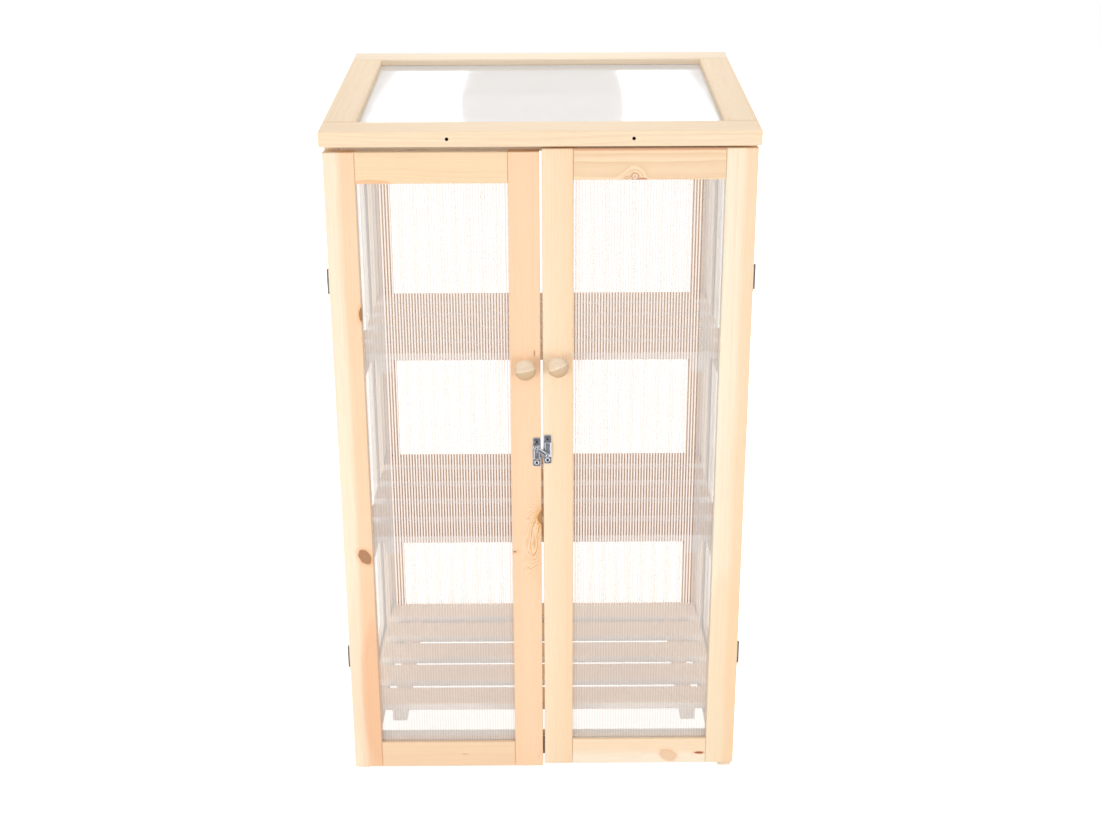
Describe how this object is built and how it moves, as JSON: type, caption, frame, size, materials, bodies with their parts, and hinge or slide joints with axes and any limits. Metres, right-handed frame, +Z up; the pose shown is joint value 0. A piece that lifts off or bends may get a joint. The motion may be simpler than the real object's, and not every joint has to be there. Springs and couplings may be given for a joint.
{
  "type": "wooden mini greenhouse",
  "caption": "Small free-standing wooden greenhouse cabinet with glazed double doors, slatted shelves, a hook latch and a sloping hinged lid.",
  "frame": {"origin": "on the floor, in the middle of the outline", "axes": "+Z up, +X to the right as seen from the front, the doors face -Y"},
  "size_m": [0.5908, 0.4596, 1.0458],
  "materials": {
    "pine": "planed, unfinished pale softwood",
    "pale_pine": "planed, unfinished pale softwood",
    "knob_wood": "turned and sanded",
    "fluted_sheet": "clear twin-wall plastic sheet with vertical flutes",
    "clear_sheet": "clear smooth plastic sheet",
    "dark_steel": "dark grey plated",
    "zinc_steel": "zinc plated"
  },
  "bodies": {
    "carcass": {"back_bottom_rail": "pine", "back_left_stile": "pine", "back_right_stile": "pine", "back_sheet": "fluted_sheet", "back_top_rail": "pine", "front_bottom_rail": "pine", "front_top_rail": "pine", "left_bottom_rail": "pine", "left_front_post": "pine", "left_lower_cleat": "pale_pine", "left_lower_hinge_fixed_leaf": "dark_steel", "left_middle_cleat": "pale_pine", "left_rear_post": "pine", "left_side_sheet": "fluted_sheet", "left_top_rail": "pine", "left_upper_cleat": "pale_pine", "left_upper_hinge_fixed_leaf": "dark_steel", "lid_left_hinge_fixed_leaf": "dark_steel", "lid_right_hinge_fixed_leaf": "dark_steel", "lower_shelf": "pale_pine", "middle_shelf": "pale_pine", "right_bottom_rail": "pine", "right_front_post": "pine", "right_lower_cleat": "pale_pine", "right_lower_hinge_fixed_leaf": "dark_steel", "right_middle_cleat": "pale_pine", "right_rear_post": "pine", "right_side_sheet": "fluted_sheet", "right_top_rail": "pine", "right_upper_cleat": "pale_pine", "right_upper_hinge_fixed_leaf": "dark_steel", "upper_shelf": "pale_pine"},
    "left_door": {"latch_keeper_plate": "zinc_steel", "left_door_bottom_rail": "pine", "left_door_hinge_stile": "pine", "left_door_meeting_stile": "pine", "left_door_sheet": "fluted_sheet", "left_door_top_rail": "pine", "left_knob": "knob_wood", "left_knob_screw": "zinc_steel", "left_lower_hinge_door_leaf": "dark_steel", "left_upper_hinge_door_leaf": "dark_steel"},
    "right_door": {"latch_pivot_plate": "zinc_steel", "right_door_bottom_rail": "pine", "right_door_hinge_stile": "pine", "right_door_meeting_stile": "pine", "right_door_sheet": "fluted_sheet", "right_door_top_rail": "pine", "right_knob": "knob_wood", "right_knob_screw": "zinc_steel", "right_lower_hinge_door_leaf": "dark_steel", "right_upper_hinge_door_leaf": "dark_steel"},
    "latch_hook": {"latch_hook": "zinc_steel"},
    "lid": {"lid_front_rail": "pale_pine", "lid_left_hinge_lid_leaf": "dark_steel", "lid_left_rail": "pale_pine", "lid_rear_rail": "pale_pine", "lid_right_hinge_lid_leaf": "dark_steel", "lid_right_rail": "pale_pine", "lid_sheet": "clear_sheet"}
  },
  "joints": [
    {"name": "left_door_hinge", "type": "hinge", "parent": "carcass", "child": "left_door", "pos_m": [-0.2928, -0.1851, 0.484], "axis": [0, 0, -1], "range_deg": [0, 180]},
    {"name": "right_door_hinge", "type": "hinge", "parent": "carcass", "child": "right_door", "pos_m": [0.2928, -0.1851, 0.4885], "axis": [0, 0, 1], "range_deg": [0, 180]},
    {"name": "lid_hinge", "type": "hinge", "parent": "carcass", "child": "lid", "pos_m": [0, 0.2272, 1.0245], "axis": [-1, 0, 0], "range_deg": [0, 170]},
    {"name": "latch_hook_pivot", "type": "hinge", "parent": "right_door", "child": "latch_hook", "pos_m": [0.0077, -0.2094, 0.5255], "axis": [0, 1, 0], "range_deg": [0, 235]}
  ]
}
